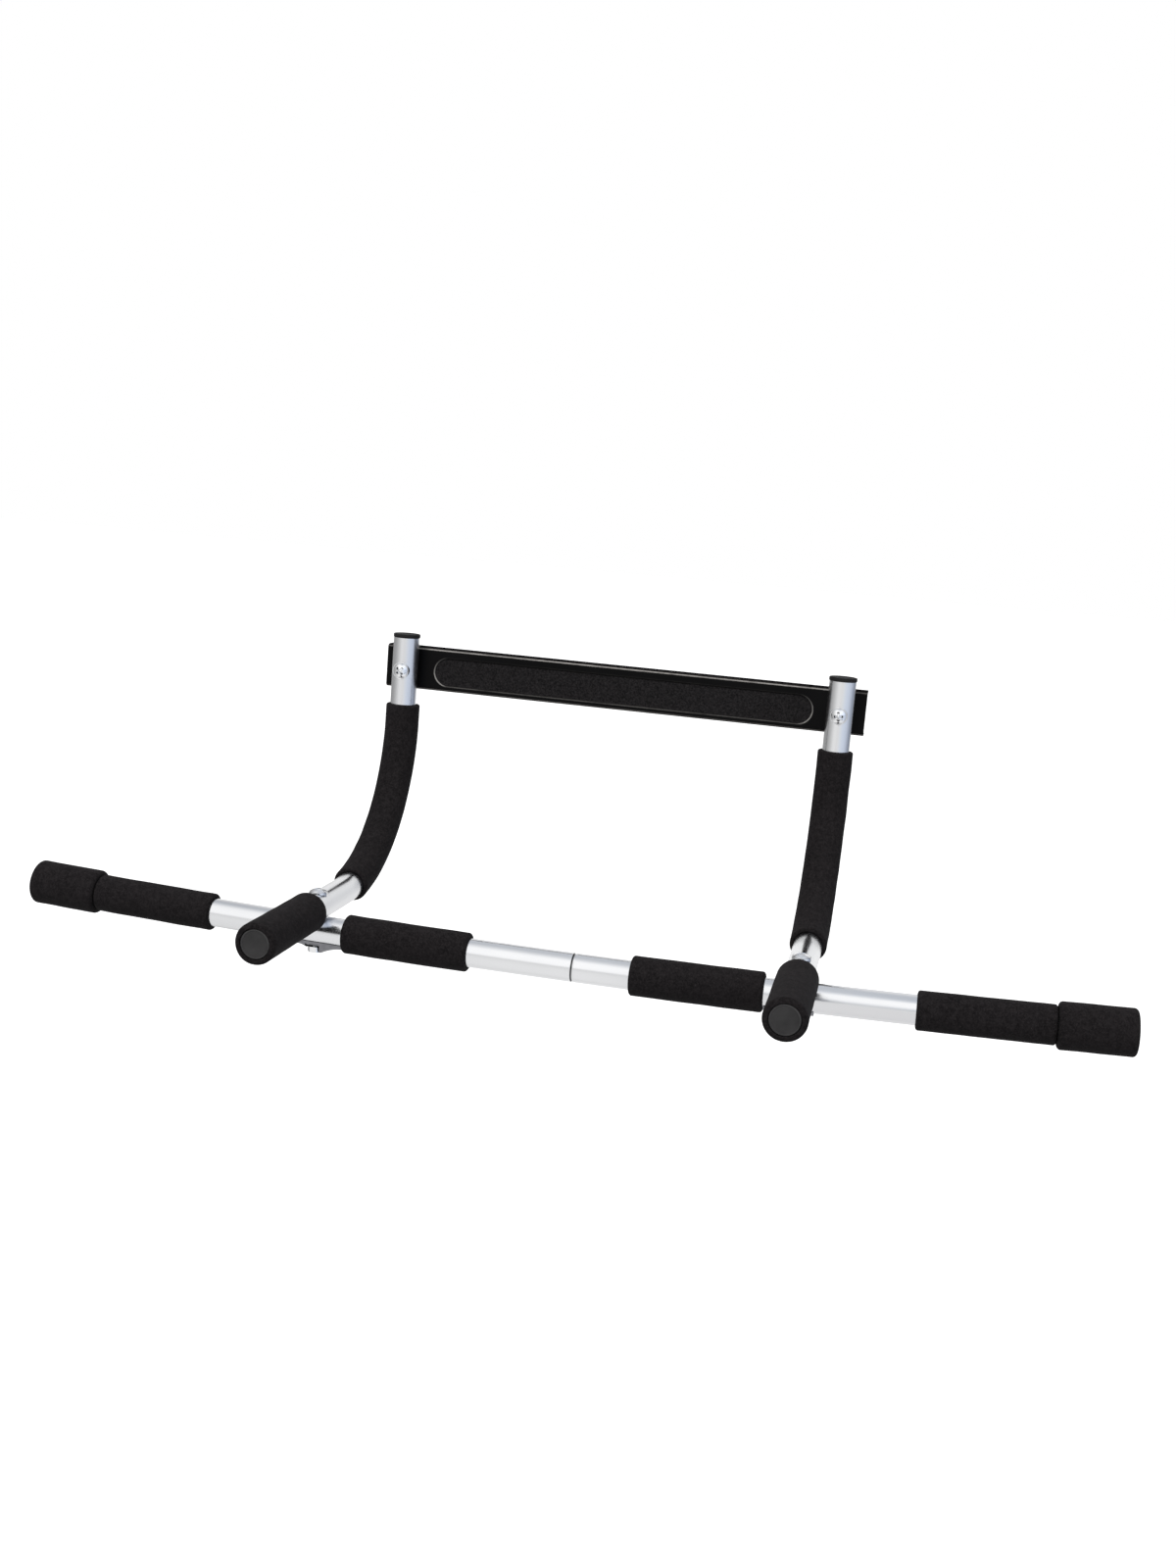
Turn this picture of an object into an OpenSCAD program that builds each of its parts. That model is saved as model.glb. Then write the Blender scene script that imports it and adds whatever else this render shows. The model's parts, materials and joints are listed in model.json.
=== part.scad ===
// Doorway pull-up bar.
// A two-piece main bar lies across the front of the door frame. Two bent arms
// sit on top of it: each starts as a forward handle, passes back under the
// lintel, turns up behind the wall and carries the steel channel that hooks
// over the trim. Foam sleeves cover every place that is held or that touches
// the frame. All sizes are in millimetres.
// Frame: X along the main bar, Y from the handles to the channel, Z up. The
// origin is the middle of the flat underside of the channel.

/* [Tubes] */
// Outside diameter of every tube
tube_d = 25.4; // [22:0.1:32]
// Wall thickness of every tube
tube_wall = 1.5; // [1:0.1:3]
// Length of the main bar from its middle to either end
bar_half = 483; // [420:1:560]
// Distance of the joint between the two bar tubes from the middle
seam_x = 21.2; // [0:0.1:60]
// Length of the swaged spigot inside the joint
spigot_len = 70; // [40:1:120]
// Radius of the slight upward bow of the whole bar
bow_r = 10500; // [6000:100:60000]

/* [Arms] */
// Distance of each arm from the middle of the bar
arm_x = 213.5; // [150:0.5:280]
// Height of the arm axis above the bar axis where they cross
arm_rise = 21; // [20:0.1:26]
// Length of the handle in front of the bar axis, without its foam lip
handle_len = 132.5; // [90:0.5:180]
// Straight run behind the bar axis before the bend
bend_start = 56.5; // [30:0.5:100]
// Centre-line radius of the bend
bend_r = 147; // [100:1:200]
// Straight upright above the bend
upright_len = 78.8; // [50:0.1:140]

/* [Foam] */
// Clearance between foam and tube
foam_gap = 0.3; // [0:0.1:1]
// Outside diameter of the end bumpers
bumper_d = 39.4; // [32:0.1:50]
// Length of the end bumpers
bumper_len = 62; // [40:1:100]
// Outside diameter of the outer bar grips
outer_grip_d = 33.2; // [30:0.1:40]
// Length of the outer bar grips
outer_grip_len = 111.5; // [80:0.5:160]
// Outside diameter of the inner bar grips
inner_grip_d = 34.4; // [30:0.1:40]
// Length of the inner bar grips
inner_grip_len = 114; // [80:0.5:150]
// Distance of the inner grips from the middle of the bar
inner_grip_x = 71.8; // [40:0.1:90]
// Outside diameter of the handle grips
handle_grip_d = 35.4; // [30:0.1:42]
// Distance of the rear end of the handle grips in front of the bar axis
handle_grip_back = 21; // [16:0.5:40]
// Outside diameter of the arm sleeves
sleeve_d = 33; // [30:0.1:40]
// Bend angle at which the arm sleeves begin, in degrees
sleeve_from = 9.4; // [0:0.1:20]
// Length of the arm sleeves above the bend
sleeve_up = 12.5; // [0:0.5:40]
// Rounding of the cut foam edges
foam_edge = 2.2; // [0.5:0.1:3]

/* [Channel] */
// Length of the channel
plate_len = 474; // [400:1:560]
// Height of the channel
plate_h = 42.5; // [30:0.5:60]
// Depth of the channel from web to flange edges
plate_depth = 15; // [10:0.5:25]
// Sheet thickness
plate_t = 2; // [1.5:0.1:3]
// Outside radius of the folds
plate_fold = 3.5; // [2.5:0.1:5]
// Length of the pressed recess in the web
recess_len = 376; // [300:1:380]
// Height of the pressed recess
recess_h = 29.5; // [15:0.5:31]
// Height of the middle of the recess
recess_z = 19.4; // [17:0.1:22]
// Depth of the pressed recess
recess_t = 2; // [1:0.1:3]
// Height of the channel bolts
plate_bolt_z = 19.8; // [16:0.1:24]

/* [Fasteners] */
// Diameter of the bolts
bolt_d = 8; // [6:1:10]
// Diameter of the bolt holes
hole_d = 8.8; // [6.5:0.1:11]
// Diameter of the domed bolt heads
head_d = 15; // [12:0.5:20]
// Height of the domed bolt heads
head_h = 4.2; // [3:0.1:6]
// Height of the lower heads of the bar bolts
low_head_h = 3; // [2.6:0.1:5]
// Width of the hexagon nuts across the flats
nut_af = 13; // [10:0.5:17]
// Height of the nuts behind the channel
nut_h = 6.5; // [5:0.1:8]
// Height of the thin nuts under the bar
thin_nut_h = 5; // [4:0.1:6]
// Width of the saddles under the bar
saddle_w = 18.4; // [14:0.1:22]
// Length of a saddle from its bolt towards the middle of the bar
saddle_in_len = 27; // [18:0.5:27]
// Length of a saddle from its bolt towards the end of the bar
saddle_out_len = 15; // [11:0.5:25]
// Depth of the inner saddle lip beside the nut
lip_in = 7.3; // [5:0.1:9]
// Depth of the outer saddle lip beside the nut
lip_out = 3.6; // [2.5:0.1:9]
// Depth of both saddle lips at their far ends
lip_end = 1.8; // [1:0.1:2.4]

/* [Hidden] */
$fn = 96;
eps = 0.01;
gap = 0.3;
tube_r = tube_d / 2;
bore_r = tube_r - tube_wall;
plate_gap = 0.3;
plate_y0 = -plate_depth / 2;
upright_y = plate_y0 - plate_gap - tube_r;
bar_y = upright_y - bend_r - bend_start;
bar_z = -197;
arm_lift = arm_rise + bow_r - sqrt(bow_r * bow_r - arm_x * arm_x);
arm_z = bar_z + arm_lift;
foam_over = 2;
handle_over = 3;
grip_gap = 0.4;
bumper_mid = bar_half + foam_over - bumper_len / 2;
outer_grip_mid = bar_half + foam_over - bumper_len - grip_gap - outer_grip_len / 2;
seat_r = tube_r + gap;
saddle_r = tube_r + gap;
saddle_t = 1.8;
nut_slot = nut_af / 2 + 0.3;
nut_z = -saddle_r - saddle_t - 0.2;
washer_r = 8.2;
washer_t = 1.2;
low_washer_t = 0.6;
washer_skirt = 2.4;
flat_washer_r = 8;
flat_washer_t = 1.6;
crown = tube_r + gap + washer_t;
low_crown = tube_r + gap + low_washer_t;
bolt_tail = 2.9;
thin_tail = 0.4;
cross_half = 4.4;
cross_w = 1.6;
cross_depth = 2.2;
stem_len = 14;
stem_wall = 1.6;
rim_round = 0.8;
cap_over = 0.4;
flange_t = 3.2;

// ---- placing helpers ----

// Frame of the main bar: its axis is X and its middle is the origin.
module on_bar() {
    translate([0, bar_y, bar_z]) children();
}

// Mirror a right-hand piece to the left-hand side.
module to_left() {
    mirror([1, 0, 0]) children();
}

// Slope of the bowed bar, in degrees, and height of its axis, at distance x.
function bow_a(x) = asin(x / bow_r);
function bow_z(x) = bow_r - sqrt(bow_r * bow_r - x * x);

// Frame of the bowed bar at distance x from its middle.
module along_bar(x) {
    on_bar() translate([x, 0, bow_z(x)]) rotate([0, -bow_a(x), 0]) children();
}

// Frame of the right-hand arm where it crosses the bar.
module on_arm() {
    translate([arm_x, bar_y, arm_z]) children();
}

// Frame of the top of the right-hand upright.
module on_upright_top() {
    translate([arm_x, upright_y, arm_z + bend_r + upright_len]) children();
}

// ---- shared shapes ----

// A rod of radius r along X.
module rod_x(x0, x1, r) {
    translate([x0, 0, 0]) rotate([0, 90, 0]) cylinder(h = x1 - x0, r = r);
}

// A rod that follows the bowed bar from x0 to x1.
module bar_rod(r, x0, x1) {
    translate([0, 0, bow_r])
        rotate([90, 0, 0])
            rotate([0, 0, bow_a(x0) - 90])
                rotate_extrude(angle = bow_a(x1) - bow_a(x0), $fn = 2400)
                    translate([bow_r, 0]) circle(r = r, $fn = 96);
}

// The course of an arm as a rod: handle, bend and upright.
module arm_rod(r, over) {
    translate([0, -handle_len - over, 0])
        rotate([-90, 0, 0]) cylinder(h = handle_len + over + bend_start, r = r);
    arm_bend(r, 0, 90);
    translate([0, bend_start + bend_r, bend_r])
        cylinder(h = upright_len + over, r = r);
}

// Part of the bend between two angles.
module arm_bend(r, a0, a1) {
    translate([0, bend_start, bend_r])
        rotate([0, 90, 0])
            rotate([0, 0, a0])
                rotate_extrude(angle = a1 - a0)
                    translate([bend_r, 0]) circle(r = r);
}

// Foam tube along X from x = 0, with rounded outer edges.
module foam_tube(len, d) {
    r_in = tube_r + foam_gap;
    r_out = d / 2;
    rotate([0, 90, 0]) rotate_extrude() {
        translate([r_in, 0]) square([r_out - foam_edge - r_in, len]);
        translate([r_in, foam_edge]) square([r_out - r_in, len - 2 * foam_edge]);
        translate([r_out - foam_edge, foam_edge]) circle(r = foam_edge);
        translate([r_out - foam_edge, len - foam_edge]) circle(r = foam_edge);
    }
}

// Push-in plug: stem below z = 0, flange above, with a dished face.
module tube_plug(flange_r, flange_h, dish) {
    difference() {
        union() {
            translate([0, 0, -stem_len]) cylinder(h = stem_len + eps, r = bore_r - gap);
            cylinder(h = flange_h - rim_round, r = flange_r);
            translate([0, 0, flange_h - rim_round])
                cylinder(h = rim_round, r1 = flange_r, r2 = flange_r - rim_round);
        }
        translate([0, 0, -stem_len - 1]) cylinder(h = stem_len - 0.5, r = bore_r - gap - stem_wall);
        translate([0, 0, flange_h - dish])
            cylinder(h = dish + eps, r1 = flange_r - 2.4, r2 = flange_r - 1.8);
    }
}

// Domed bolt with its seat at z = 0 and a shank of the given length below.
module dome_bolt(len, h) {
    dome_r = (head_d * head_d / 4 + h * h) / (2 * h);
    difference() {
        union() {
            intersection() {
                translate([0, 0, h - dome_r]) sphere(r = dome_r);
                cylinder(h = h + 1, r = head_d / 2);
            }
            translate([0, 0, -len]) cylinder(h = len + 1, r = bolt_d / 2);
        }
        for (a = [0, 90])
            rotate([0, 0, a])
                translate([-cross_half, -cross_w / 2, h - cross_depth])
                    cube([2 * cross_half, cross_w, 3]);
        translate([0, 0, h - cross_depth - 0.2]) cylinder(h = 3, r1 = 1, r2 = 2);
    }
}

// Hexagon nut of height h with its seat at z = 0, standing up along Z.
module hex_nut(h) {
    difference() {
        intersection() {
            cylinder(h = h, r = nut_af / 2 / cos(30), $fn = 6);
            cylinder(h = h, r = nut_af / 2 / cos(30) - 0.35);
        }
        translate([0, 0, -1]) cylinder(h = h + 2, r = bolt_d / 2 + 0.15);
        translate([0, 0, h - 0.6])
            cylinder(h = 0.6 + eps, r1 = bolt_d / 2 + 0.15, r2 = bolt_d / 2 + 0.75);
    }
}

// Round washer whose underside is curved to sit on a tube along X.
module curved_washer(top) {
    difference() {
        translate([0, 0, tube_r - washer_skirt])
            cylinder(h = top - tube_r + washer_skirt, r = washer_r);
        rod_x(-washer_r - 1, washer_r + 1, tube_r + gap);
        translate([0, 0, tube_r - 3]) cylinder(h = 8, r = hole_d / 2);
    }
}

// ---- bar ----

// Seat pressed into the bar for the arm, seen in the bar frame.
module seat_cut(r) {
    translate([arm_x, -30, arm_lift]) rotate([-90, 0, 0]) cylinder(h = 60, r = r);
}

module bar_hole() {
    translate([arm_x, 0, -tube_r - 5]) cylinder(h = 2 * tube_r + 15, r = hole_d / 2);
}

// Left-hand tube of the bar: the longer one, with the open socket.
module main_tube_left() {
    color("silver") to_left() on_bar() difference() {
        bar_rod(tube_r, -seam_x, bar_half);
        seat_cut(seat_r);
        difference() {
            bar_rod(bore_r, -seam_x - 1, bar_half + 1);
            seat_cut(seat_r + tube_wall);
        }
        bar_hole();
    }
}

// Right-hand tube of the bar, with the spigot that slides into the left one.
module main_tube_right() {
    shoulder = seam_x + gap;
    spigot_r = bore_r - gap;
    color("silver") on_bar() difference() {
        union() {
            bar_rod(tube_r, shoulder, bar_half);
            bar_rod(spigot_r, seam_x - spigot_len, shoulder + 2);
        }
        seat_cut(seat_r);
        bar_rod(spigot_r - tube_wall, seam_x - spigot_len - 1, shoulder + 7);
        difference() {
            bar_rod(bore_r, shoulder + 6, bar_half + 1);
            seat_cut(seat_r + tube_wall);
        }
        bar_hole();
    }
}

// ---- arms ----

module arm() {
    on_arm() difference() {
        arm_rod(tube_r, 0);
        arm_rod(bore_r, 1);
        translate([0, 0, -tube_r - 5]) cylinder(h = 2 * tube_r + 10, r = hole_d / 2);
        translate([0, bend_start + bend_r - tube_r - 5, plate_bolt_z - arm_z])
            rotate([-90, 0, 0]) cylinder(h = 2 * tube_r + 10, r = hole_d / 2);
    }
}

module arm_right() {
    color("silver") arm();
}

module arm_left() {
    color("silver") to_left() arm();
}

// ---- channel behind the uprights ----

// Obround with sloping ends and sides, narrowing towards the back.
module obround(len, h, depth, slope) {
    half = len / 2 - h / 2;
    for (s = [-1, 1])
        translate([s * half, 0, 0])
            rotate([-90, 0, 0]) cylinder(h = depth, r1 = h / 2, r2 = h / 2 - slope);
    translate([-half, 0, 0]) rotate([90, 0, 90]) linear_extrude(height = 2 * half)
        polygon([[0, -h / 2], [0, h / 2], [depth, h / 2 - slope], [depth, -h / 2 + slope]]);
}

module channel_fold(z) {
    translate([-plate_len / 2, plate_y0 + plate_fold, z]) rotate([0, 90, 0]) difference() {
        cylinder(h = plate_len, r = plate_fold);
        translate([0, 0, -1]) cylinder(h = plate_len + 2, r = plate_fold - plate_t);
    }
}

module door_plate() {
    x0 = -plate_len / 2;
    fold = plate_fold;
    color("dimgray") difference() {
        union() {
            translate([x0, plate_y0, fold]) cube([plate_len, plate_t, plate_h - 2 * fold]);
            for (z = [0, plate_h - plate_t])
                translate([x0, plate_y0 + fold, z])
                    cube([plate_len, plate_depth - fold, plate_t]);
            intersection() {
                channel_fold(fold);
                translate([x0, plate_y0, 0]) cube([plate_len, fold, fold]);
            }
            intersection() {
                channel_fold(plate_h - fold);
                translate([x0, plate_y0, plate_h - fold]) cube([plate_len, fold, fold]);
            }
            translate([0, plate_y0 + plate_t - eps, recess_z])
                obround(recess_len, recess_h + 1.2, recess_t + eps, recess_t);
        }
        translate([0, plate_y0 - eps, recess_z])
            obround(recess_len, recess_h, recess_t + eps, recess_t);
        for (s = [-1, 1])
            translate([s * arm_x, plate_y0 - 1, plate_bolt_z])
                rotate([-90, 0, 0]) cylinder(h = plate_t + 2, r = hole_d / 2);
    }
}

// ---- foam ----

module bumper() {
    along_bar(bumper_mid) translate([-bumper_len / 2, 0, 0]) foam_tube(bumper_len, bumper_d);
}

module bumper_right() {
    color("black") bumper();
}

module bumper_left() {
    color("black") to_left() bumper();
}

module outer_grip() {
    along_bar(outer_grip_mid) translate([-outer_grip_len / 2, 0, 0])
        foam_tube(outer_grip_len, outer_grip_d);
}

module outer_grip_right() {
    color("black") outer_grip();
}

module outer_grip_left() {
    color("black") to_left() outer_grip();
}

module inner_grip() {
    along_bar(inner_grip_x + inner_grip_len / 2) translate([-inner_grip_len / 2, 0, 0])
        foam_tube(inner_grip_len, inner_grip_d);
}

module inner_grip_right() {
    color("black") inner_grip();
}

module inner_grip_left() {
    color("black") to_left() inner_grip();
}

module handle_grip() {
    on_arm() translate([0, -handle_grip_back, 0]) rotate([0, 0, -90])
        foam_tube(handle_len + handle_over - handle_grip_back, handle_grip_d);
}

module handle_grip_right() {
    color("black") handle_grip();
}

module handle_grip_left() {
    color("black") to_left() handle_grip();
}

// The covered course of an arm as a rod: the bend and a little upright.
module sleeve_rod(r, over) {
    arm_bend(r, 0, 90);
    translate([0, bend_start + bend_r, bend_r]) cylinder(h = sleeve_up + over, r = r);
}

module arm_sleeve() {
    on_arm() difference() {
        sleeve_rod(sleeve_d / 2, 0);
        sleeve_rod(tube_r + foam_gap, 1);
        translate([0, bend_start, bend_r])
            rotate([sleeve_from, 0, 0])
                translate([-30, -60, -bend_r - 40]) cube([60, 60, 80]);
    }
}

module arm_sleeve_right() {
    color("black") arm_sleeve();
}

module arm_sleeve_left() {
    color("black") to_left() arm_sleeve();
}

// ---- plugs ----

module handle_plug() {
    on_arm() translate([0, -handle_len, 0]) rotate([90, 0, 0]) tube_plug(tube_r, 1.8, 0.7);
}

module handle_plug_right() {
    color("dimgray") handle_plug();
}

module handle_plug_left() {
    color("dimgray") to_left() handle_plug();
}

module upright_cap() {
    on_upright_top() tube_plug(tube_r + cap_over, flange_t, 0.5);
}

module upright_cap_right() {
    color("dimgray") upright_cap();
}

module upright_cap_left() {
    color("dimgray") to_left() upright_cap();
}

module bar_plug() {
    along_bar(bar_half) rotate([0, 90, 0]) tube_plug(tube_r, 1.6, 0.6);
}

module bar_plug_right() {
    color("dimgray") bar_plug();
}

module bar_plug_left() {
    color("dimgray") to_left() bar_plug();
}

// ---- fasteners ----

// Bolt through upright and channel web, head towards the handles.
module plate_bolt() {
    translate([arm_x, upright_y - crown, plate_bolt_z]) rotate([90, 0, 0])
        dome_bolt(
            crown + tube_r + plate_gap + plate_t + flat_washer_t + nut_h + bolt_tail,
            head_h
        );
}

module plate_bolt_right() {
    color("silver") plate_bolt();
}

module plate_bolt_left() {
    color("silver") to_left() plate_bolt();
}

module plate_nut() {
    translate([arm_x, plate_y0 + plate_t + flat_washer_t, plate_bolt_z]) rotate([-90, 0, 0])
        hex_nut(nut_h);
}

module plate_nut_right() {
    color("silver") plate_nut();
}

module plate_nut_left() {
    color("silver") to_left() plate_nut();
}

// Bolt down through arm and bar.
module bar_bolt() {
    on_arm() translate([0, 0, low_crown])
        dome_bolt(low_crown + arm_rise - nut_z + thin_nut_h + thin_tail, low_head_h);
}

module bar_bolt_right() {
    color("silver") bar_bolt();
}

module bar_bolt_left() {
    color("silver") to_left() bar_bolt();
}

module bar_nut() {
    on_arm() translate([0, 0, nut_z - arm_rise]) rotate([180, 0, 0]) hex_nut(thin_nut_h);
}

module bar_nut_right() {
    color("silver") bar_nut();
}

module bar_nut_left() {
    color("silver") to_left() bar_nut();
}

// Outline of one saddle lip as [radius, distance from the bolt]: deep beside the nut, it
// curves up to its far end.
function lip_points(len, drop) = [
    for (i = [0:9])
        let (x = nut_slot + i * (len - nut_slot) / 9, rise = pow((9 - i) / 9, 2))
            [saddle_r + lip_end + (drop - lip_end) * rise, x]
];

// Saddle under the bar: it hugs the tube, and its two lips curve down beside the nut.
module nut_saddle() {
    inner = lip_points(saddle_in_len, lip_in);
    outer = lip_points(saddle_out_len, lip_out);
    difference() {
        along_bar(arm_x) intersection() {
            rotate([0, 90, 0]) rotate_extrude() polygon(concat(
                [for (i = [9:-1:0]) [inner[i][0], -inner[i][1]]],
                outer,
                [[saddle_r, saddle_out_len], [saddle_r, -saddle_in_len]]
            ));
            translate([-30, -saddle_w / 2, -40]) cube([60, saddle_w, 40]);
        }
        on_arm() {
            translate([-nut_slot, -30, nut_z - arm_rise - 20]) cube([2 * nut_slot, 60, 20]);
            translate([0, 0, -arm_rise - 40]) cylinder(h = 40, r = hole_d / 2);
        }
    }
}

module nut_saddle_right() {
    color("silver") nut_saddle();
}

module nut_saddle_left() {
    color("silver") to_left() nut_saddle();
}

// Curved washers under the four bolt heads.
module washer_pair() {
    on_arm() rotate([0, 0, 90]) curved_washer(low_crown);
    translate([arm_x, upright_y, plate_bolt_z]) rotate([90, 0, 0]) rotate([0, 0, 90])
        curved_washer(crown);
}

module saddle_washers() {
    color("silver") {
        washer_pair();
        to_left() washer_pair();
    }
}

// Flat washers under the nuts behind the channel web.
module flat_washers() {
    color("silver") for (s = [-1, 1])
        translate([s * arm_x, plate_y0 + plate_t, plate_bolt_z]) rotate([-90, 0, 0])
            difference() {
                cylinder(h = flat_washer_t, r = flat_washer_r);
                translate([0, 0, -1]) cylinder(h = 4, r = hole_d / 2 - 0.1);
            }
}

main_tube_left();
main_tube_right();
arm_left();
arm_right();
door_plate();
bumper_left();
bumper_right();
outer_grip_left();
outer_grip_right();
inner_grip_left();
inner_grip_right();
handle_grip_left();
handle_grip_right();
arm_sleeve_left();
arm_sleeve_right();
handle_plug_left();
handle_plug_right();
upright_cap_left();
upright_cap_right();
bar_plug_left();
bar_plug_right();
plate_bolt_left();
plate_bolt_right();
plate_nut_left();
plate_nut_right();
bar_bolt_left();
bar_bolt_right();
bar_nut_left();
bar_nut_right();
nut_saddle_left();
nut_saddle_right();
saddle_washers();
flat_washers();
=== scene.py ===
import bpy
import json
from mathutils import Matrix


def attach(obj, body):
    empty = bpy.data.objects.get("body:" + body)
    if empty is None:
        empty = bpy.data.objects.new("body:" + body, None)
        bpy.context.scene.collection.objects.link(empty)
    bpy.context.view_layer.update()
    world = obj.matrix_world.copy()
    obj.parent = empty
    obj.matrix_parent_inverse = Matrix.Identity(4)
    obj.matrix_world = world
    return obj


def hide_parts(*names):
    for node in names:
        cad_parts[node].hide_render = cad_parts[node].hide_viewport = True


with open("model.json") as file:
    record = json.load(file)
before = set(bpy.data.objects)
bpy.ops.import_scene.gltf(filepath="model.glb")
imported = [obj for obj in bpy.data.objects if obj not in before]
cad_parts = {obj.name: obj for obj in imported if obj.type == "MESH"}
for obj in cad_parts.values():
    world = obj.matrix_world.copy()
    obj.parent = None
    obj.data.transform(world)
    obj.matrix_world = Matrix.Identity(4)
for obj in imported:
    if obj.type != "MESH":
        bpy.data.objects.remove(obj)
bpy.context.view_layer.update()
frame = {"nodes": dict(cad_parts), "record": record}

import bmesh
import bpy
import json
import math

from mathutils import Matrix, Vector, noise

nodes = frame["nodes"]
MM = 0.001

# ---- main sizes of the object, in metres ----
TUBE_R = 12.7 * MM
WALL = 1.5 * MM
BORE_R = TUBE_R - WALL
FIT = 0.3 * MM
ARM_X = 213.5 * MM
BEND_R = 147 * MM
BEND_START = 56.5 * MM
QUARTER = BEND_R * math.pi / 2
UPRIGHT_LEN = 78.8 * MM
PLATE_FRONT = -7.5 * MM
UPRIGHT_Y = PLATE_FRONT - FIT - TUBE_R
BAR_Y = UPRIGHT_Y - BEND_R - BEND_START
BAR_Z = -197 * MM
BOW_R = 10.5
BAR_HALF = 483 * MM
SEAM_X = 21.2 * MM
SPIGOT_LEN = 70 * MM
ARM_RISE = 21 * MM
HANDLE_LEN = 132.5 * MM
FOAM_IN = TUBE_R + FIT
PLATE_BOLT_Z = 19.8 * MM
SIDES = {"left": -1, "right": 1}
PLATE_HALF = 237 * MM
PLATE_H = 42.5 * MM
PLATE_DEPTH = 15 * MM
SHEET = 2 * MM
FOLD = 3.5 * MM
RECESS_HALF = 188 * MM
RECESS_R = 14.75 * MM
RECESS_Z = 19.4 * MM
RECESS_T = 2 * MM
RIM = 2.4 * MM
# place of the painted shade on the tube at the gap between the foam sleeves
FOAM_JOINT = 422.8 * MM
# radius of the painted highlight ring on the handle plugs
PLUG_HIGHLIGHT_R = 11.6 * MM


def bow_angle(x):
    return math.asin(x / BOW_R)


def bow_height(x):
    return BOW_R - math.sqrt(BOW_R * BOW_R - x * x)


ARM_Z = BAR_Z + ARM_RISE + bow_height(ARM_X)
UPRIGHT_TOP = ARM_Z + BEND_R + UPRIGHT_LEN


def bar_point(x):
    return Vector((x, BAR_Y, BAR_Z + bow_height(x)))


# ---- camera ----
CAM_AT = (0.28393, -1.51117, 0.19613)
CAM_YAW = 11.539
CAM_PITCH = 10.041
CAM_ROLL = 4.609
CAM_LENS = 36.4076


def make_camera():
    yaw, pitch, roll = (math.radians(a) for a in (CAM_YAW, CAM_PITCH, CAM_ROLL))
    level = Vector((math.cos(yaw), math.sin(yaw), 0))
    ahead = Vector((-math.sin(yaw), math.cos(yaw), 0))
    fwd = ahead * math.cos(pitch) - Vector((0, 0, math.sin(pitch)))
    up = level.cross(fwd)
    right = level * math.cos(roll) + up * math.sin(roll)
    top = up * math.cos(roll) - level * math.sin(roll)
    pose = Matrix((right, top, -fwd)).transposed().to_4x4()
    pose.translation = CAM_AT
    data = bpy.data.cameras.new("camera")
    data.lens = CAM_LENS
    data.sensor_width = 36
    data.clip_end = 100
    cam = bpy.data.objects.new("camera", data)
    bpy.context.scene.collection.objects.link(cam)
    cam.matrix_world = pose
    bpy.context.scene.camera = cam


make_camera()


# ---- material helpers ----
class Tree:
    """Short calls for the nodes of a material or of the world."""

    def __init__(self, tree):
        self.tree = tree
        self.coord = tree.nodes.new("ShaderNodeTexCoord")
        self.place = self.coord.outputs["Object"]

    def add(self, kind, **settings):
        node = self.tree.nodes.new("ShaderNode" + kind)
        for key, value in settings.items():
            setattr(node, key, value)
        return node

    def feed(self, sock, value):
        if isinstance(value, (int, float)):
            sock.default_value = value
        elif isinstance(value, tuple):
            sock.default_value = (*value, 1) if len(sock.default_value) > len(value) else value
        else:
            self.tree.links.new(value, sock)

    def noise(self, scale, detail=4, rough=0.55, vec=None):
        n = self.add("TexNoise")
        self.feed(n.inputs["Vector"], vec or self.place)
        self.feed(n.inputs["Scale"], scale)
        self.feed(n.inputs["Detail"], detail)
        self.feed(n.inputs["Roughness"], rough)
        return n.outputs["Fac"]

    def cells(self, scale, feature="F1"):
        n = self.add("TexVoronoi", feature=feature)
        self.feed(n.inputs["Vector"], self.place)
        self.feed(n.inputs["Scale"], scale)
        return n.outputs["Distance"]

    def remap(self, value, a, b, c, d):
        n = self.add("MapRange")
        self.feed(n.inputs["Value"], value)
        for name, v in (("From Min", a), ("From Max", b), ("To Min", c), ("To Max", d)):
            self.feed(n.inputs[name], v)
        return n.outputs["Result"]

    def math(self, op, a, b=0.0):
        n = self.add("Math", operation=op)
        self.feed(n.inputs[0], a)
        self.feed(n.inputs[1], b)
        return n.outputs[0]

    def ramp(self, value, stops):
        n = self.add("ValToRGB")
        els = n.color_ramp.elements
        while len(els) < len(stops):
            els.new(0.5)
        for e, (pos, col) in zip(els, stops):
            e.position = pos
            e.color = (*col, 1) if isinstance(col, tuple) else (col, col, col, 1)
        self.feed(n.inputs["Fac"], value)
        return n.outputs["Color"]

    def mix(self, fac, a, b, blend="MIX"):
        n = self.add("Mix", data_type="RGBA", blend_type=blend)
        self.feed(n.inputs["Factor"], fac)
        colours = [s for s in n.inputs if s.type == "RGBA"]
        self.feed(colours[0], a)
        self.feed(colours[1], b)
        return [s for s in n.outputs if s.type == "RGBA"][0]

    def crevice_shade(self, reach, dark_at, open_at):
        """Mask for painted shade: 1 in corners and recesses narrower than reach, 0 on open faces."""
        n = self.add("AmbientOcclusion", samples=8)
        self.feed(n.inputs["Distance"], reach)
        return self.remap(n.outputs["AO"], dark_at, open_at, 1.0, 0.0)

    def split(self, vec):
        n = self.add("SeparateXYZ")
        self.feed(n.inputs[0], vec)
        return n.outputs


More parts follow.
